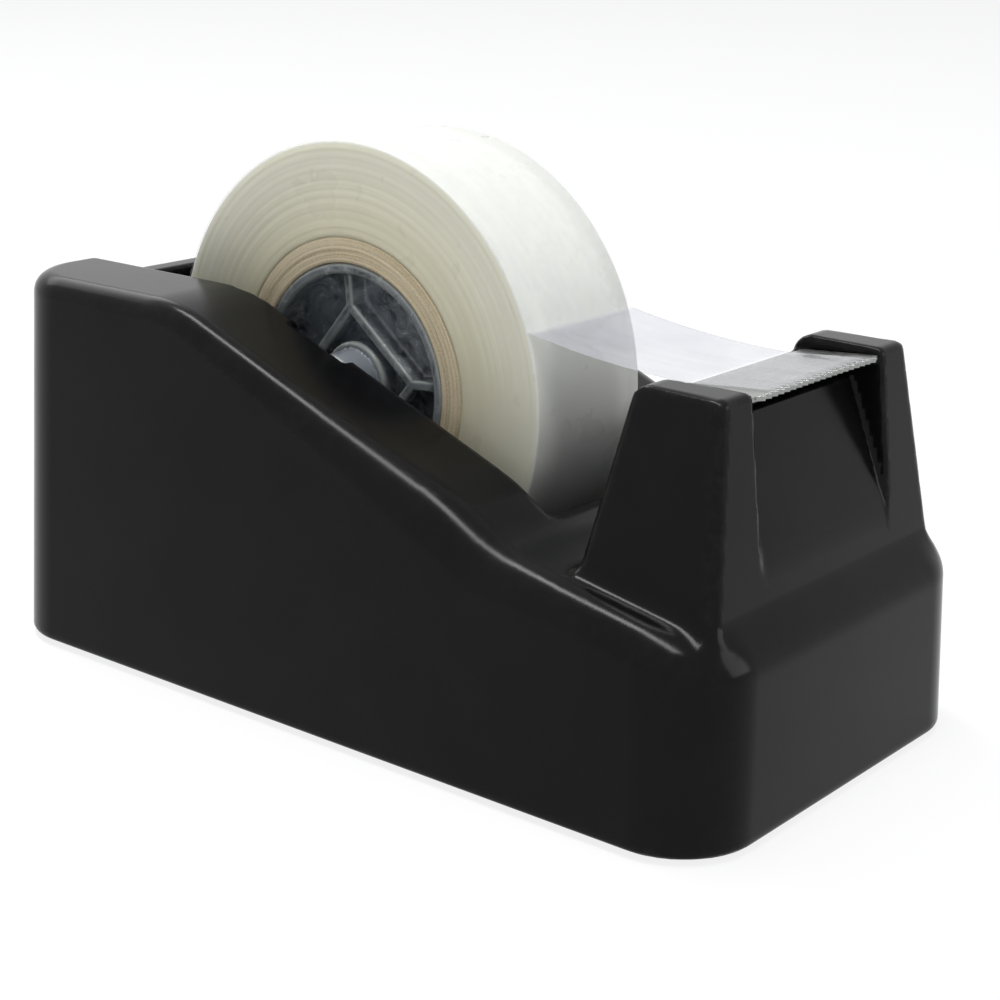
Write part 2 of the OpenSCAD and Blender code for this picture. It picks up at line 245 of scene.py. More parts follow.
def net(field, lo, hi, cell):
    """Points and quads on the zero surface of a field, one point in each crossed cell."""
    axes = [np.arange(lo[k] - 1.5 * cell, hi[k] + 2 * cell, cell) for k in range(3)]
    values = field(*np.meshgrid(*axes, indexing="ij"))
    shape = tuple(n - 1 for n in values.shape)
    total, count = np.zeros((3, np.prod(shape))), np.zeros(np.prod(shape))
    quads = []
    for a in range(3):
        b, c = (a + 1) % 3, (a + 2) % 3
        low = values.take(range(0, values.shape[a] - 1), a)
        high = values.take(range(1, values.shape[a]), a)
        at = np.argwhere((low < 0) != (high < 0))
        inner = (at[:, b] > 0) & (at[:, c] > 0) & (at[:, b] < shape[b]) & (at[:, c] < shape[c])
        at = at[inner]
        v0, v1 = low[tuple(at.T)], high[tuple(at.T)]
        point = at.astype(float)
        point[:, a] += v0 / (v0 - v1)
        ring = []
        for db, dc in ((0, 0), (-1, 0), (-1, -1), (0, -1)):
            cell_at = at.copy()
            cell_at[:, b] += db
            cell_at[:, c] += dc
            flat = np.ravel_multi_index(tuple(cell_at.T), shape)
            ring.append(flat)
            count += np.bincount(flat, minlength=count.size)
            for k in range(3):
                total[k] += np.bincount(flat, point[:, k], count.size)
        quad = np.stack(ring, 1)
        quad[v0 > 0] = quad[v0 > 0][:, ::-1]
        quads.append(quad)
    used = np.flatnonzero(count)
    number = np.full(count.size, -1)
    number[used] = np.arange(used.size)
    start = np.array([axis[0] for axis in axes])
    points = start + cell * (total[:, used] / count[used]).T
    points, normals = settle(field, points, cell)
    return points, number[np.concatenate(quads)], normals


def slope_of(field, p, step=0.02):
    """Gradient of a field at points p."""
    g = np.empty_like(p)
    for k in range(3):
        d = np.zeros(3)
        d[k] = step
        g[:, k] = (field(*(p + d).T) - field(*(p - d).T)) / (2 * step)
    return g


def settle(field, p, cell):
    """Points moved onto the surface, and the surface's own normals there."""
    for _ in range(4):
        g = slope_of(field, p)
        move = (field(*p.T) / np.maximum((g * g).sum(1), 0.2))[:, None] * g
        far = np.linalg.norm(move, axis=1, keepdims=True)
        p = p - move * np.minimum(1, 0.4 * cell / np.maximum(far, 1e-9))
    g = slope_of(field, p)
    return p, g / np.maximum(np.linalg.norm(g, axis=1, keepdims=True), 1e-9)


def edge_convexity(points, quads, normals):
    """How far each point stands on a convex edge, 0 to 1, from the turn of its normals."""
    pairs = np.concatenate([quads[:, [i, (i + 1) % 4]] for i in range(4)])
    d = points[pairs[:, 1]] - points[pairs[:, 0]]
    turn = ((normals[pairs[:, 1]] - normals[pairs[:, 0]]) * d).sum(1) / np.maximum((d * d).sum(1), 1e-6)
    both = np.concatenate([pairs[:, 0], pairs[:, 1]])
    level = np.bincount(both, np.tile(turn, 2), len(points)) / np.maximum(np.bincount(both, minlength=len(points)), 1)
    return np.clip(level / 0.7, 0, 1)


def make(name, points, faces, materials, smooth=True):
    """A mesh object from points in millimetres."""
    mesh = bpy.data.meshes.new(name)
    mesh.from_pydata((np.asarray(points) * MM).tolist(), [], [list(map(int, f)) for f in faces])
    mesh.update()
    mesh.polygons.foreach_set("use_smooth", [smooth] * len(mesh.polygons))
    for m in materials:
        mesh.materials.append(m)
    obj = bpy.data.objects.new(name, mesh)
    bpy.context.scene.collection.objects.link(obj)
    return obj


def moulded(name, field, lo, hi, cell, material):
    """A piece from a distance field, with exact normals and a convex-edge attribute."""
    points, quads, normals = net(field, lo, hi, cell)
    obj = make(name, points, quads, [material])
    convex_edge = obj.data.attributes.new("convex_edge", "FLOAT", "POINT")
    convex_edge.data.foreach_set("value", edge_convexity(points, quads, normals).astype(np.float32))
    obj.data.normals_split_custom_set_from_vertices(normals.tolist())
    return obj


def lathe(name, profile, materials, steps=256, wobble=None):
    """A closed ring round the spindle axis, from a closed profile of (x, radius) points."""
    profile = np.asarray(profile, float)
    rows = []
    for i in range(steps):
        t = 2 * math.pi * i / steps
        x, r = profile[:, 0], profile[:, 1]
        if wobble is not None:
            x = x + wobble(t, profile)
        rows.append(np.stack([x, AXIS[1] - r * math.cos(t), AXIS[2] + r * math.sin(t)], 1))
    n = len(profile)
    faces = []
    for i in range(steps):
        j = (i + 1) % steps
        for k in range(n):
            m = (k + 1) % n
            faces.append((i * n + k, j * n + k, j * n + m, i * n + m))
    return make(name, np.concatenate(rows), faces, materials)


def strip(name, path, across, thick, materials):
    """A thin closed band along a path of (y, z) points; across gives x at each point."""
    path = np.asarray(path, float)
    d = np.gradient(path, axis=0)
    d /= np.linalg.norm(d, axis=1, keepdims=True)
    up = np.stack([d[:, 1], -d[:, 0]], 1)
    up *= np.sign(up[len(up) // 2, 1])
    top, low = [], []
    for i, p in enumerate(path):
        for x, dy, dz in across(i, len(path)):
            base = np.array([p[0] + dy, p[1] + dz])
            low.append([x, *base])
            top.append([x, *(base + up[i] * thick)])
    cols, rows = len(across(0, len(path))), len(path)
    count = rows * cols
    faces = []
    for i in range(rows - 1):
        for j in range(cols - 1):
            a, b = i * cols + j, (i + 1) * cols + j
            faces.append((count + a, count + a + 1, count + b + 1, count + b))
            faces.append((a, b, b + 1, a + 1))
    rim = [i * cols for i in range(rows)] + [(rows - 1) * cols + j for j in range(1, cols)]
    rim += [i * cols + cols - 1 for i in range(rows - 2, -1, -1)] + list(range(cols - 2, 0, -1))
    for a, b in zip(rim, rim[1:] + rim[:1]):
        faces.append((a, count + a, count + b, b))
    return make(name, low + top, faces, materials)


def fix_normals(obj):
    """Faces turned to point outwards."""
    import bmesh

    bm = bmesh.new()
    bm.from_mesh(obj.data)
    bmesh.ops.recalc_face_normals(bm, faces=bm.faces)
    bm.to_mesh(obj.data)
    bm.free()


# ---------------------------------------------------------------- materials


class Nodes:
    """A material's node tree, with short calls for what the materials here share."""

    def __init__(self, name):
        self.material = bpy.data.materials.new(name)
        self.material.use_nodes = True
        self.tree = self.material.node_tree
        self.shader = self.tree.nodes["Principled BSDF"]
        self.coord = self.add("ShaderNodeTexCoord").outputs["Object"]

    def add(self, kind, **values):
        node = self.tree.nodes.new(kind)
        for key, value in values.items():
            setattr(node, key, value)
        return node

    def link(self, a, b):
        self.tree.links.new(a, b)

    def put(self, **values):
        for key, value in values.items():
            self.shader.inputs[key.replace("_", " ")].default_value = value

    def space(self, scale, turn=(0, 0, 0)):
        node = self.add("ShaderNodeMapping")
        node.inputs["Scale"].default_value = scale
        node.inputs["Rotation"].default_value = turn
        self.link(self.coord, node.inputs["Vector"])
        return node.outputs["Vector"]

    def noise(self, size_mm, detail=4.0, rough=0.5, vector=None, distort=0.0):
        """Noise with features about size_mm across."""
        node = self.add("ShaderNodeTexNoise")
        node.inputs["Scale"].default_value = 1 / (size_mm * MM)
        node.inputs["Detail"].default_value = detail
        node.inputs["Roughness"].default_value = rough
        node.inputs["Distortion"].default_value = distort
        self.link(vector if vector is not None else self.coord, node.inputs["Vector"])
        return node.outputs["Fac"]

    def range(self, source, a, b, lo, hi):
        """source from a..b brought to lo..hi."""
        node = self.add("ShaderNodeMapRange")
        self.link(source, node.inputs["Value"])
        for key, value in zip(("From Min", "From Max", "To Min", "To Max"), (a, b, lo, hi)):
            node.inputs[key].default_value = value
        return node.outputs["Result"]

    def math(self, kind, a, b=None):
        node = self.add("ShaderNodeMath", operation=kind)
        for socket, value in zip(node.inputs, (a, b)):
            if hasattr(value, "links"):
                self.link(value, socket)
            elif value is not None:
                socket.default_value = value
        return node.outputs["Value"]

    def blend(self, factor, a, b):
        """Colour a where factor is 0, b where it is 1; each is a colour or a socket."""
        node = self.add("ShaderNodeMix", data_type="RGBA")
        self.link(factor, node.inputs["Factor"])
        for socket, value in ((node.inputs[6], a), (node.inputs[7], b)):
            if hasattr(value, "links"):
                self.link(value, socket)
            else:
                socket.default_value = (*value, 1)
        return node.outputs[2]

    def bump(self, height, depth_mm, strength=1.0):
        node = self.add("ShaderNodeBump")
        node.inputs["Strength"].default_value = strength
        node.inputs["Distance"].default_value = depth_mm * MM
        self.link(height, node.inputs["Height"])
        self.link(node.outputs["Normal"], self.shader.inputs["Normal"])

    def polar(self):
        """Radius from the spindle axis in mm, and the angle round it in turns."""
        split = self.add("ShaderNodeSeparateXYZ")
        self.link(self.coord, split.inputs["Vector"])
        y = self.math("SUBTRACT", self.math("MULTIPLY", split.outputs["Y"], 1 / MM), AXIS[1])
        z = self.math("SUBTRACT", self.math("MULTIPLY", split.outputs["Z"], 1 / MM), AXIS[2])
        radius = self.math("SQRT", self.math("ADD", self.math("MULTIPLY", y, y), self.math("MULTIPLY", z, z)))
        angle = self.math("DIVIDE", self.math("ARCTAN2", z, y), 2 * math.pi)
        return radius, angle

    def rings(self, radius, angle, pitch_mm, detail=3.0):
        """Noise that runs in rings about pitch_mm apart, slowly changing round the axis."""
        both = self.add("ShaderNodeCombineXYZ")
        self.link(self.math("DIVIDE", radius, pitch_mm), both.inputs["X"])
        self.link(self.math("MULTIPLY", self.math("COSINE", self.math("MULTIPLY", angle, 2 * math.pi)), 0.8), both.inputs["Y"])
        self.link(self.math("MULTIPLY", self.math("SINE", self.math("MULTIPLY", angle, 2 * math.pi)), 0.8), both.inputs["Z"])
        node = self.add("ShaderNodeTexNoise")
        node.inputs["Scale"].default_value = 1.0
        node.inputs["Detail"].default_value = detail
        self.link(both.outputs["Vector"], node.inputs["Vector"])
        return node.outputs["Fac"]

    def out(self, socket, name):
        self.link(socket, self.shader.inputs[name])


def black_plastic():
    n = Nodes("black_moulded")
    broad, fine = n.noise(14, 3), n.noise(0.35, 3, 0.6)
    convex_edge = n.add("ShaderNodeAttribute", attribute_name="convex_edge").outputs["Fac"]
    rub = n.math("MULTIPLY", convex_edge, n.range(n.noise(1.6, 5, 0.65), 0.45, 0.7, 0, 1))
    tone = n.blend(n.range(broad, 0.35, 0.65, 0, 1), (0.003, 0.003, 0.0033), (0.0046, 0.0046, 0.005))
    n.out(n.blend(n.math("MULTIPLY", rub, 0.5), tone, (0.02, 0.02, 0.021)), "Base Color")
    scratch = n.noise(0.5, 2, 0.5, n.space((1, 0.05, 1), (0.2, 0.1, 0.7)))
    gloss = n.math("ADD", n.range(broad, 0.3, 0.7, 0.15, 0.21), n.range(scratch, 0.6, 0.75, 0, 0.06))
    n.out(n.math("ADD", gloss, n.math("MULTIPLY", rub, 0.1)), "Roughness")
    n.put(Specular_IOR_Level=0.1)
    n.bump(n.math("ADD", fine, n.math("MULTIPLY", n.noise(4, 2), 1.5)), 0.004)
    return n.material


def dark_plastic():
    n = Nodes("dark_matt_plastic")
    grain = n.noise(0.4, 4, 0.6)
    n.out(n.blend(n.noise(9, 3), (0.02, 0.02, 0.021), (0.032, 0.032, 0.033)), "Base Color")
    n.out(n.range(grain, 0.3, 0.7, 0.5, 0.68), "Roughness")
    n.bump(grain, 0.02)
    return n.material


def set_ballast():
    n = Nodes("sand_cement")
    grit = n.noise(0.5, 6, 0.7)
    stones = n.add("ShaderNodeTexVoronoi")
    stones.inputs["Scale"].default_value = 1 / (1.4 * MM)
    n.link(n.coord, stones.inputs["Vector"])
    tone = n.blend(n.range(grit, 0.35, 0.65, 0, 1), (0.26, 0.25, 0.22), (0.42, 0.40, 0.36))
    n.out(n.blend(n.range(stones.outputs["Distance"], 0, 0.35, 0.7, 0), tone, (0.18, 0.16, 0.13)), "Base Color")
    n.out(n.range(grit, 0.3, 0.7, 0.8, 0.95), "Roughness")
    n.bump(grit, 0.2)
    return n.material


def foam():
    n = Nodes("foot_foam")
    cells = n.add("ShaderNodeTexVoronoi", feature="SMOOTH_F1")
    cells.inputs["Scale"].default_value = 1 / (0.45 * MM)
    n.link(n.coord, cells.inputs["Vector"])
    pores = cells.outputs["Distance"]
    # The pits of the pores are painted darker than their rims: painted shade.
    n.out(n.blend(n.range(pores, 0, 0.6, 0, 1), (0.012, 0.012, 0.013), (0.04, 0.04, 0.042)), "Base Color")
    n.out(n.range(n.noise(6, 3), 0.3, 0.7, 0.82, 0.95), "Roughness")
    n.bump(pores, 0.1)
    return n.material


def steel(name, along, colour, rough):
    """Brushed steel, with the brushing along one axis (0, 1 or 2)."""
    n = Nodes(name)
    scale = [1.0, 1.0, 1.0]
    scale[along] = 0.02
    brush = n.noise(0.12, 3, 0.6, n.space(scale))
    dull = [c * 0.72 for c in colour]
    n.out(n.blend(n.range(brush, 0.3, 0.7, 0, 1), dull, colour), "Base Color")
    smear = n.noise(3, 4, 0.6)
    n.out(n.math("ADD", n.range(brush, 0.3, 0.7, rough, rough + 0.12), n.range(smear, 0.4, 0.7, 0, 0.1)), "Roughness")
    n.put(Metallic=1.0)
    n.bump(brush, 0.004)
    return n.material


def smoke_plastic():
    n = Nodes("smoke_hub")
    cloud = n.noise(2.6, 5, 0.62, None, 1.2)
    flow = n.noise(7, 3, 0.5, n.space((1, 1.6, 0.7), (0.6, 0, 0)))
    convex_edge = n.add("ShaderNodeAttribute", attribute_name="convex_edge").outputs["Fac"]
    dark = n.blend(n.range(cloud, 0.36, 0.62, 0, 1), (0.07, 0.08, 0.10), (0.44, 0.47, 0.48))
    tone = n.blend(n.range(flow, 0.42, 0.62, 0, 1), dark, (0.27, 0.30, 0.33))
    # The hub's convex edges, rims and ribs are lightened towards pale grey-green: painted highlight.
    n.out(n.blend(n.range(convex_edge, 0.3, 1, 0, 0.75), tone, (0.40, 0.43, 0.40)), "Base Color")
    n.out(n.range(cloud, 0.3, 0.7, 0.12, 0.3), "Roughness")
    n.put(Transmission_Weight=0.35, IOR=1.49)
    n.bump(n.math("ADD", cloud, n.math("MULTIPLY", flow, 2)), 0.03)
    return n.material


def kraft_board():
    n = Nodes("kraft_core")
    radius, angle = n.polar()
    plies = n.rings(radius, angle, 0.28)
    fibre = n.noise(0.22, 5, 0.7)
    tone = n.blend(n.range(plies, 0.35, 0.65, 0, 1), (0.46, 0.37, 0.22), (0.68, 0.58, 0.40))
    n.out(n.blend(n.range(fibre, 0.45, 0.7, 0, 0.6), tone, (0.78, 0.69, 0.52)), "Base Color")
    n.out(n.range(fibre, 0.3, 0.7, 0.75, 0.92), "Roughness")
    n.bump(n.math("ADD", plies, fibre), 0.05)
    return n.material


def wound_tape():
    n = Nodes("wound_tape")
    radius, angle = n.polar()
    bands, hair = n.rings(radius, angle, 2.2, 2), n.rings(radius, angle, 0.16, 3)
    warm = n.range(radius, CORE_R, ROLL_R, 0, 1)
    face = n.blend(warm, (0.68, 0.64, 0.46), (0.72, 0.71, 0.60))
    face = n.blend(n.range(bands, 0.35, 0.65, 0, 0.14), face, (0.58, 0.57, 0.43))
    face = n.blend(n.range(hair, 0.5, 0.7, 0, 0.1), face, (0.78, 0.78, 0.68))
    tread = n.range(radius, ROLL_R - 0.5, ROLL_R - 0.2, 0, 0.85)
    n.out(n.blend(tread, face, (0.71, 0.72, 0.68)), "Base Color")
    cloud = n.noise(6, 3)
    n.out(n.range(cloud, 0.3, 0.7, 0.24, 0.38), "Roughness")
    n.put(Subsurface_Weight=0.35, Subsurface_Scale=0.002, IOR=1.47)
    n.shader.inputs["Subsurface Radius"].default_value = (1.0, 0.95, 0.7)
    n.bump(n.math("ADD", hair, n.math("MULTIPLY", cloud, 0.6)), 0.006)
    return n.material


def film():
    """Clear film: nearly unseen on the roll; where it hangs free it is more opaque and painted a darker
    lavender-grey, and partly so where it is stuck on steel: painted shade.
    """
    n = Nodes("tape_film")
    free = n.add("ShaderNodeAttribute", attribute_name="free").outputs["Fac"]
    pull = n.noise(2.4, 2, 0.5, n.space((1, 0.1, 0.4)))
    shade_mottle = n.noise(7, 2)
    painted_shade_tone = n.blend(n.range(shade_mottle, 0.35, 0.65, 0, 1), (0.40, 0.41, 0.47), (0.50, 0.51, 0.57))
    # The film is painted a darker lavender-grey where it hangs free, and partly so on the steel: painted shade.
    n.out(n.blend(n.range(free, 0, 1, 0, 1), (0.82, 0.83, 0.84), painted_shade_tone), "Base Color")
    n.out(n.range(pull, 0.3, 0.7, 0.06, 0.14), "Roughness")
    veil = n.range(free, 0, 1, 0.1, 0.26)
    n.out(n.math("ADD", veil, n.range(pull, 0.3, 0.7, 0, 0.06)), "Alpha")
    n.put(IOR=1.47)
    n.bump(pull, 0.004)
    return n.material


MAT = {
    "housing": black_plastic(),
    "dark": dark_plastic(),
    "ballast": set_ballast(),
    "foam": foam(),
    "cutter": steel("cutter_steel", 1, (0.34, 0.35, 0.34), 0.2),
    "screw": steel("screw_zinc", 2, (0.66, 0.67, 0.66), 0.3),
    "spindle": steel("spindle_steel", 0, (0.58, 0.58, 0.6), 0.25),
    "hub": smoke_plastic(),
    "core": kraft_board(),
    "roll": wound_tape(),
    "film": film(),
}

# ---------------------------------------------------------------- housing

housing = moulded(
    "housing_shell",
    housing_field,
    SHELL_LO,
    SHELL_HI,
    0.55,
    MAT["housing"],
)
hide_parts("housing")
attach(housing, "base")

# ---------------------------------------------------------------- hub

HUB_R = HUB_HI[1] - AXIS[1]
HUB_END = 8.8
BOSS_END = HUB_HI[0]
FACE_X = HUB_END - 3
RIM_T, WEB_T = 1.2, 1.2
RIB_TURN = math.radians(39)


def box_field(a, b, ca, cb, ha, hb, r):
    """A rounded rectangle in the plane of a and b."""
    qa, qb = np.abs(a - ca) - ha + r, np.abs(b - cb) - hb + r
    return np.hypot(np.maximum(qa, 0), np.maximum(qb, 0)) + np.minimum(np.maximum(qa, qb), 0) - r


def hub_field(x, y, z):
    """The +X half of the hub: rim, recessed face, boss, and a square frame of ribs."""
    py, pz = y - AXIS[1], z - AXIS[2]
    r = np.hypot(py, pz)
    rim = meet_round(r - HUB_R, HUB_R - RIM_T - r, 0.3)
    rim = meet_round(rim, x - HUB_END, 0.35)
    web = np.maximum(r - HUB_R + 0.4, np.abs(x - FACE_X + WEB_T / 2) - WEB_T / 2)
    boss = meet_round(r - 4.4, x - HUB_END + 0.6, 0.4)
    sleeve = meet_round(r - 3.6, x - BOSS_END, 0.3)
    c, s = math.cos(RIB_TURN), math.sin(RIB_TURN)
    u, v = py * c + pz * s, pz * c - py * s
    frame_ribs = np.abs(np.maximum(np.abs(u), np.abs(v)) - 5.85) - 0.55
    d, e = np.abs(u + v) / math.sqrt(2), np.abs(u - v) / math.sqrt(2)
    far, near = np.maximum(d, e), np.minimum(d, e)
    spokes = np.maximum(near - 0.55, np.maximum(8 - far, r - HUB_R + 0.5))
    ribs = meet_round(np.minimum(frame_ribs, spokes), x - HUB_END + 0.8, 0.25)
    ribs = np.maximum(ribs, FACE_X - 0.5 - x)
    solid = join_round(join_round(rim, web, 0.4), boss, 0.5)
    solid = np.minimum(join_round(solid, ribs, 0.35), sleeve)
    return np.maximum(cut_round(solid, r - 2.55, 0.2), -x)


hub_points, hub_quads, hub_normals = net(
    hub_field,
    [0, AXIS[1] - HUB_R, AXIS[2] - HUB_R],
    [BOSS_END, AXIS[1] + HUB_R, AXIS[2] + HUB_R],
    0.26,
)
for node, sign in (("hub_right", 1), ("hub_left", -1)):
    flip = np.array([sign, 1, 1])
    quads = hub_quads if sign > 0 else hub_quads[:, ::-1]
    hub = make(node + "_moulded", hub_points * flip, quads, [MAT["hub"]])
    # The convex-edge attribute lightens the hub's edges in its material: painted highlight.
    convex_edge = hub.data.attributes.new("convex_edge", "FLOAT", "POINT")
    convex_edge.data.foreach_set("value", edge_convexity(hub_points, hub_quads, hub_normals).astype(np.float32))
    hub.data.normals_split_custom_set_from_vertices((hub_normals * flip).tolist())
    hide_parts(node)
    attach(hub, "roll")

# ---------------------------------------------------------------- core and wound tape

TAPE_HALF = ROLL_HI[0]
FILM_T = 0.06
CORE_IN = 13.3
draw = np.random.default_rng(11)


def ring_profile(half, r_in, r_out, steps, depth, soft):
    """Closed profile whose two faces are stepped into fine rings up to depth deep."""
    radii = np.linspace(r_in + soft, r_out - soft, steps)
    right = half - depth * draw.random(steps)
    left = half - depth * draw.random(steps)
    right[0] = right[-1] = left[0] = left[-1] = half - soft * 0.3
    face = list(zip(right, radii))
    back = list(zip(-left[::-1], radii[::-1]))
    outer = [(half - soft, r_out), (0.5 * half, r_out), (-0.5 * half, r_out), (-half + soft, r_out)]
    inner = [(-half + soft, r_in), (0, r_in), (half - soft, r_in)]
    return face + outer + back + inner


core = lathe("core_ring", ring_profile(TAPE_HALF - 0.1, CORE_IN, CORE_R, 14, 0.09, 0.15), [MAT["core"]])
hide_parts("tape_core")
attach(core, "roll")


def coning(t, profile):
    """The roll's faces stand a little out of true, more towards the outside."""
    share = (profile[:, 1] - CORE_R) / (ROLL_R - CORE_R)
    return 0.05 * share * np.sin(t * 2 + profile[:, 1] * 0.8) * -np.sign(profile[:, 0])


roll = lathe(
    "wound_roll",
    ring_profile(TAPE_HALF - 0.06, CORE_R, ROLL_R - FILM_T - 0.02, 54, 0.04, 0.14),
    [MAT["roll"]],
    wobble=coning,
)
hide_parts("tape_roll")
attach(roll, "roll")
for ring in (core, roll):
    fix_normals(ring)

# ---------------------------------------------------------------- cutter plate

PLATE_T = 0.5
PITCH, TOOTH = 1.1, 0.8
PLATE_HALF = PLATE_HI[0]
CUT_FRONT = np.array([-43.9, SHELL_Z + 42.0])
CUT_REAR = np.array([-34.6, SHELL_Z + 41.2])
ALONG = CUT_REAR - CUT_FRONT
PLATE_L = float(np.hypot(*ALONG))
ALONG = ALONG / PLATE_L
UP = np.array([-ALONG[1], ALONG[0]])
TEETH = int(2 * (PLATE_HALF - 0.6) / PITCH)


def crown(x):
    """The plate stands slightly higher in the middle."""
    return 0.12 * (1 - (np.asarray(x) / PLATE_HALF) ** 2) - 0.06


def cutter_mesh():
    """Plate with a toothed front edge, a soft crown and a leg bent down at the rear."""
    xs = [-PLATE_HALF] + [(-TEETH / 2 + 0.5 * i) * PITCH for i in range(2 * TEETH + 1)] + [PLATE_HALF]
    tips = [0] + [0 if i % 2 == 0 else TOOTH for i in range(2 * TEETH + 1)] + [0]
    bend_r, leg = 0.7, 2.4
    stations = [(s, 0.0) for s in np.linspace(0.0, PLATE_L - bend_r, 9)]
    for a in np.linspace(0, math.pi / 2, 6)[1:]:
        stations.append((PLATE_L - bend_r + bend_r * math.sin(a), -bend_r * (1 - math.cos(a))))
    stations.append((PLATE_L, -bend_r - leg))
    path = np.array(stations)
    d = np.gradient(path, axis=0)
    d /= np.linalg.norm(d, axis=1, keepdims=True)
    normal = np.stack([-d[:, 1], d[:, 0]], 1)
    layers = []
    for depth in (0.0, PLATE_T):
        points = []
        for i, (s, h) in enumerate(path):
            for x, tip in zip(xs, tips):
                back = s - normal[i, 0] * depth
                high = h - normal[i, 1] * depth
                if i == 0:
                    back -= tip * (1 if depth == 0 else 0.8)
                high += crown(x) * min(1, (len(path) - 1 - i) / 6)
                p = CUT_FRONT + ALONG * back + UP * high
                points.append([x, p[0], p[1]])
        layers.append(points)
    rows, cols = len(path), len(xs)
    count = rows * cols
    faces = []
    for i in range(rows - 1):
        for j in range(cols - 1):
            a, b = i * cols + j, (i + 1) * cols + j
            faces.append((a, a + 1, b + 1, b))
            faces.append((count + a, count + b, count + b + 1, count + a + 1))
    rim = [i * cols for i in range(rows)] + [(rows - 1) * cols + j for j in range(1, cols)]
    rim += [i * cols + cols - 1 for i in range(rows - 2, -1, -1)] + list(range(cols - 2, 0, -1))
    for a, b in zip(rim, rim[1:] + rim[:1]):
        faces.append((a, b, count + b, count + a))
    return make("cutter_blade", layers[0] + layers[1], faces, [MAT["cutter"]])


def soften(obj, width_mm, segments=2, angle=35):
    """Rounded edges, as a modifier."""
    bevel = obj.modifiers.new("soft_edges", "BEVEL")
    bevel.width = width_mm * MM
    bevel.segments = segments
    bevel.limit_method = "ANGLE"
    bevel.angle_limit = math.radians(angle)
    bevel.harden_normals = True
    for poly in obj.data.polygons:
        poly.use_smooth = True


cutter = cutter_mesh()
fix_normals(cutter)
soften(cutter, 0.05)
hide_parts("cutter_plate")
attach(cutter, "base")

# ---------------------------------------------------------------- free end of the tape

PEEL_A = math.radians(21)
BACK_A = math.radians(190)


def tail_path():
    """(y, z) points of the outer turn, the span to the cutter and the part stuck on it."""
    r = ROLL_R - FILM_T - 0.01
    turn = [
        (AXIS[1] - r * math.cos(a), AXIS[2] + r * math.sin(a))
        for a in np.linspace(BACK_A, PEEL_A, 90)
    ]
    start = np.array(turn[-1])
    rear = CUT_REAR + UP * 0.13
    front = CUT_FRONT + UP * 0.13
    span = []
    for t in np.linspace(0, 1, 22)[1:]:
        span.append((start[0] + (rear[0] - start[0]) * t, rear[1] + (start[1] - rear[1]) * (1 - t) ** 2))
    stuck = [tuple(rear + (front - rear) * t) for t in np.linspace(0, 1, 10)[1:]]
    return turn + span + stuck, len(turn), len(turn) + len(span)


TAIL, TURN_END, SPAN_END = tail_path()


def tail_across(i, count):
    """Positions across the tape: it cups slightly on the span, and its end is cut by the teeth."""
    half = 9.0 - 0.05
    cols = [-half] + [k * PITCH / 2 for k in range(-16, 17)] + [half]
    out = []
    for k, x in enumerate(cols):
        dy = dz = 0.0
        if TURN_END <= i < SPAN_END:
            t = (i - TURN_END + 1) / (SPAN_END - TURN_END)
            dz = -0.35 * math.sin(math.pi * t) * (1 - (x / half) ** 2)
        elif i >= SPAN_END:
            dz = float(crown(x)) + 0.03 * math.sin(x * 2.1 + i * 0.5)
        if i == count - 1:
            tip = abs(((x / PITCH + TEETH / 2) % 1) - 0.5)
            dy = -(1 - 2 * tip) * TOOTH * 0.8
        out.append((x, dy, dz))
    return out


def tail_free(i):
    """1 where the tape hangs free, less where it lies on the cutter, 0 on the roll: how much painted shade the film
    gets there.
    """
    if i < TURN_END:
        return 0.0
    return 1.0 if i < SPAN_END else 0.35


tail = strip("tape_end", TAIL, tail_across, FILM_T, [MAT["film"]])
per_row = len(tail_across(0, len(TAIL)))
free_rows = [tail_free(i) for i in range(len(TAIL)) for _ in range(per_row)]
# The free attribute carries the film's painted shade: full on the span, partial on the cutter.
free = tail.data.attributes.new("free", "FLOAT", "POINT")
free.data.foreach_set("value", free_rows * 2)
fix_normals(tail)
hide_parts("tape_tail")
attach(tail, "spindle")

# ---------------------------------------------------------------- carried CAD nodes

for node, key in (
    ("base_plate", "dark"),
    ("fill_plug", "dark"),
    ("foot_pad", "foam"),
    ("ballast", "ballast"),
    ("base_screws", "screw"),
    ("spindle", "spindle"),
):
    obj = frame["nodes"][node]
    obj.data.materials.clear()
    obj.data.materials.append(MAT[key])

# ---------------------------------------------------------------- floor, light, camera


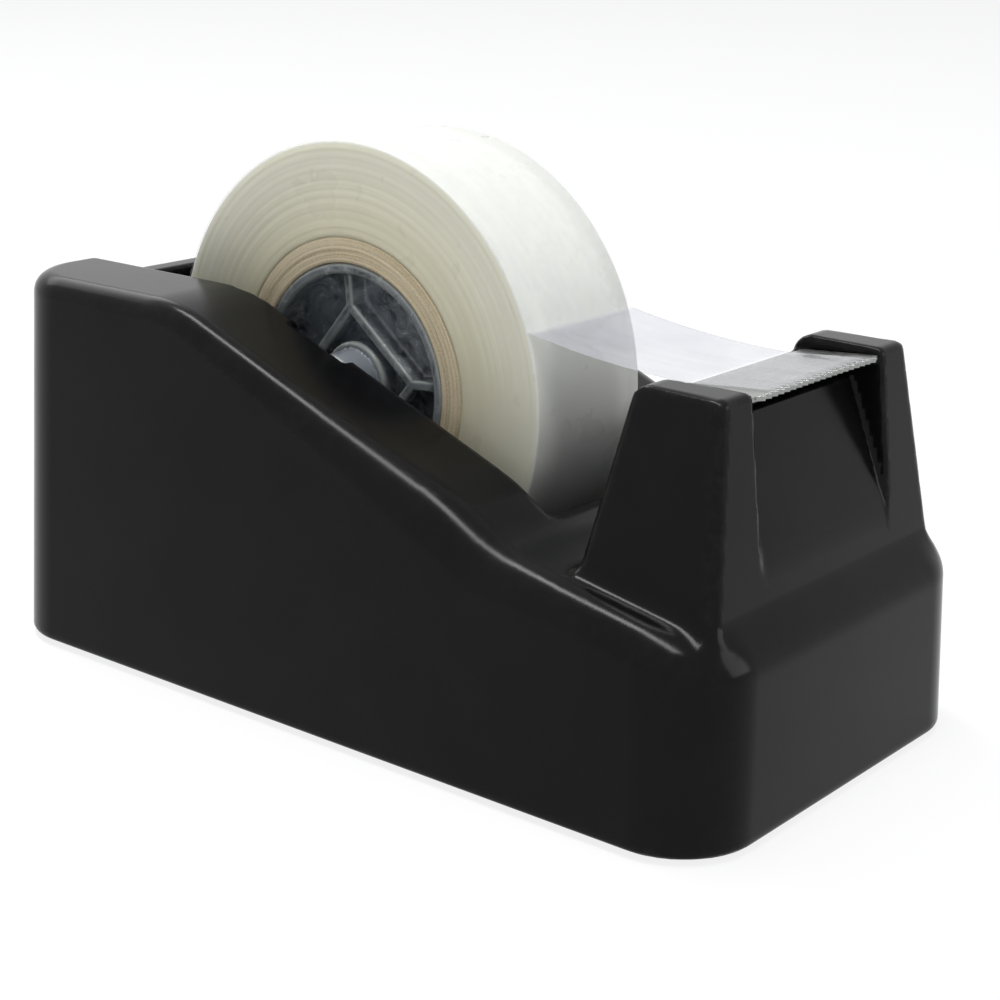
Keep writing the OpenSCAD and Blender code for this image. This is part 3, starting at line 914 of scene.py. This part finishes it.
def floor_and_world():
    """A white floor that keeps the shadow, and a white surround for camera and glossy rays."""
    size = 6.0
    mesh = bpy.data.meshes.new("floor")
    mesh.from_pydata([(-size, -size, 0), (size, -size, 0), (size, size, 0), (-size, size, 0)], [], [(0, 1, 2, 3)])
    floor = bpy.data.objects.new("floor", mesh)
    bpy.context.scene.collection.objects.link(floor)
    material = bpy.data.materials.new("floor_white")
    material.use_nodes = True
    tree = material.node_tree
    tree.nodes.clear()
    diffuse = tree.nodes.new("ShaderNodeBsdfDiffuse")
    diffuse.inputs["Color"].default_value = (0.86, 0.86, 0.86, 1)
    glow = tree.nodes.new("ShaderNodeEmission")
    glow.inputs["Color"].default_value = (1, 1, 1, 1)
    mix = tree.nodes.new("ShaderNodeMixShader")
    share = tree.nodes.new("ShaderNodeMath")
    share.operation = "MULTIPLY"
    share.inputs[1].default_value = 0.84
    tree.links.new(seen_ray(tree), share.inputs[0])
    tree.links.new(share.outputs["Value"], mix.inputs["Fac"])
    tree.links.new(diffuse.outputs["BSDF"], mix.inputs[1])
    tree.links.new(glow.outputs["Emission"], mix.inputs[2])
    out = tree.nodes.new("ShaderNodeOutputMaterial")
    tree.links.new(mix.outputs["Shader"], out.inputs["Surface"])
    mesh.materials.append(material)

    world = bpy.data.worlds.new("studio")
    bpy.context.scene.world = world
    world.use_nodes = True
    tree = world.node_tree
    back = tree.nodes["Background"]
    back.inputs["Color"].default_value = (0.93, 0.95, 1, 1)
    back.inputs["Strength"].default_value = 0.42
    white = tree.nodes.new("ShaderNodeBackground")
    white.inputs["Color"].default_value = (1, 1, 1, 1)
    mix = tree.nodes.new("ShaderNodeMixShader")
    tree.links.new(seen_ray(tree), mix.inputs["Fac"])
    tree.links.new(back.outputs["Background"], mix.inputs[1])
    tree.links.new(white.outputs["Background"], mix.inputs[2])
    tree.links.new(mix.outputs["Shader"], tree.nodes["World Output"].inputs["Surface"])


def seen_ray(tree):
    """1 on camera, glossy and transmission rays."""
    path = tree.nodes.new("ShaderNodeLightPath")
    first = tree.nodes.new("ShaderNodeMath")
    first.operation = "MAXIMUM"
    tree.links.new(path.outputs["Is Camera Ray"], first.inputs[0])
    tree.links.new(path.outputs["Is Glossy Ray"], first.inputs[1])
    second = tree.nodes.new("ShaderNodeMath")
    second.operation = "MAXIMUM"
    tree.links.new(first.outputs["Value"], second.inputs[0])
    tree.links.new(path.outputs["Is Transmission Ray"], second.inputs[1])
    return second.outputs["Value"]


def lamp(name, place, aim, size, power):
    data = bpy.data.lights.new(name, "AREA")
    data.shape = "RECTANGLE"
    data.size, data.size_y = size
    data.energy = power
    obj = bpy.data.objects.new(name, data)
    bpy.context.scene.collection.objects.link(obj)
    place, aim = np.array(place, float), np.array(aim, float)
    back = place - aim
    back /= np.linalg.norm(back)
    side = np.cross([0, 0, 1], back)
    side /= np.linalg.norm(side)
    up = np.cross(back, side)
    obj.matrix_world = Matrix([[*r, p] for r, p in zip(np.stack([side, up, back], 1), place)] + [[0, 0, 0, 1]])


def camera():
    """The camera stands a little above the object, in front of its left corner."""
    lens, pitch, yaw, roll_turn = 75.55, 0.30148, 0.89853, 0.01972
    place = np.array([-0.17482, -0.14389, 0.09114])
    cy, sy, cp, sp = math.cos(yaw), math.sin(yaw), math.cos(pitch), math.sin(pitch)
    ahead = np.array([sy * cp, cy * cp, -sp])
    right = np.array([cy, -sy, 0])
    up = np.cross(right, ahead)
    c, s = math.cos(roll_turn), math.sin(roll_turn)
    x, y = c * right + s * up, c * up - s * right
    data = bpy.data.cameras.new("camera")
    data.lens, data.sensor_width = lens, 36
    data.clip_start, data.clip_end = 0.01, 50
    obj = bpy.data.objects.new("camera", data)
    bpy.context.scene.collection.objects.link(obj)
    obj.matrix_world = Matrix([[*r, p] for r, p in zip(np.stack([x, y, -ahead], 1), place)] + [[0, 0, 0, 1]])
    bpy.context.scene.camera = obj


floor_and_world()
middle = (0, 0, 0.03)
lamp("overhead", (-0.1, 0.05, 0.8), middle, (0.9, 0.11), 7.2)
lamp("fill", (0.4, -0.95, 0.35), middle, (0.5, 0.5), 2.6)
lamp("rear", (0.2, 0.8, 0.6), middle, (0.8, 0.3), 2.0)
camera()
bpy.context.scene.view_settings.view_transform = "Standard"
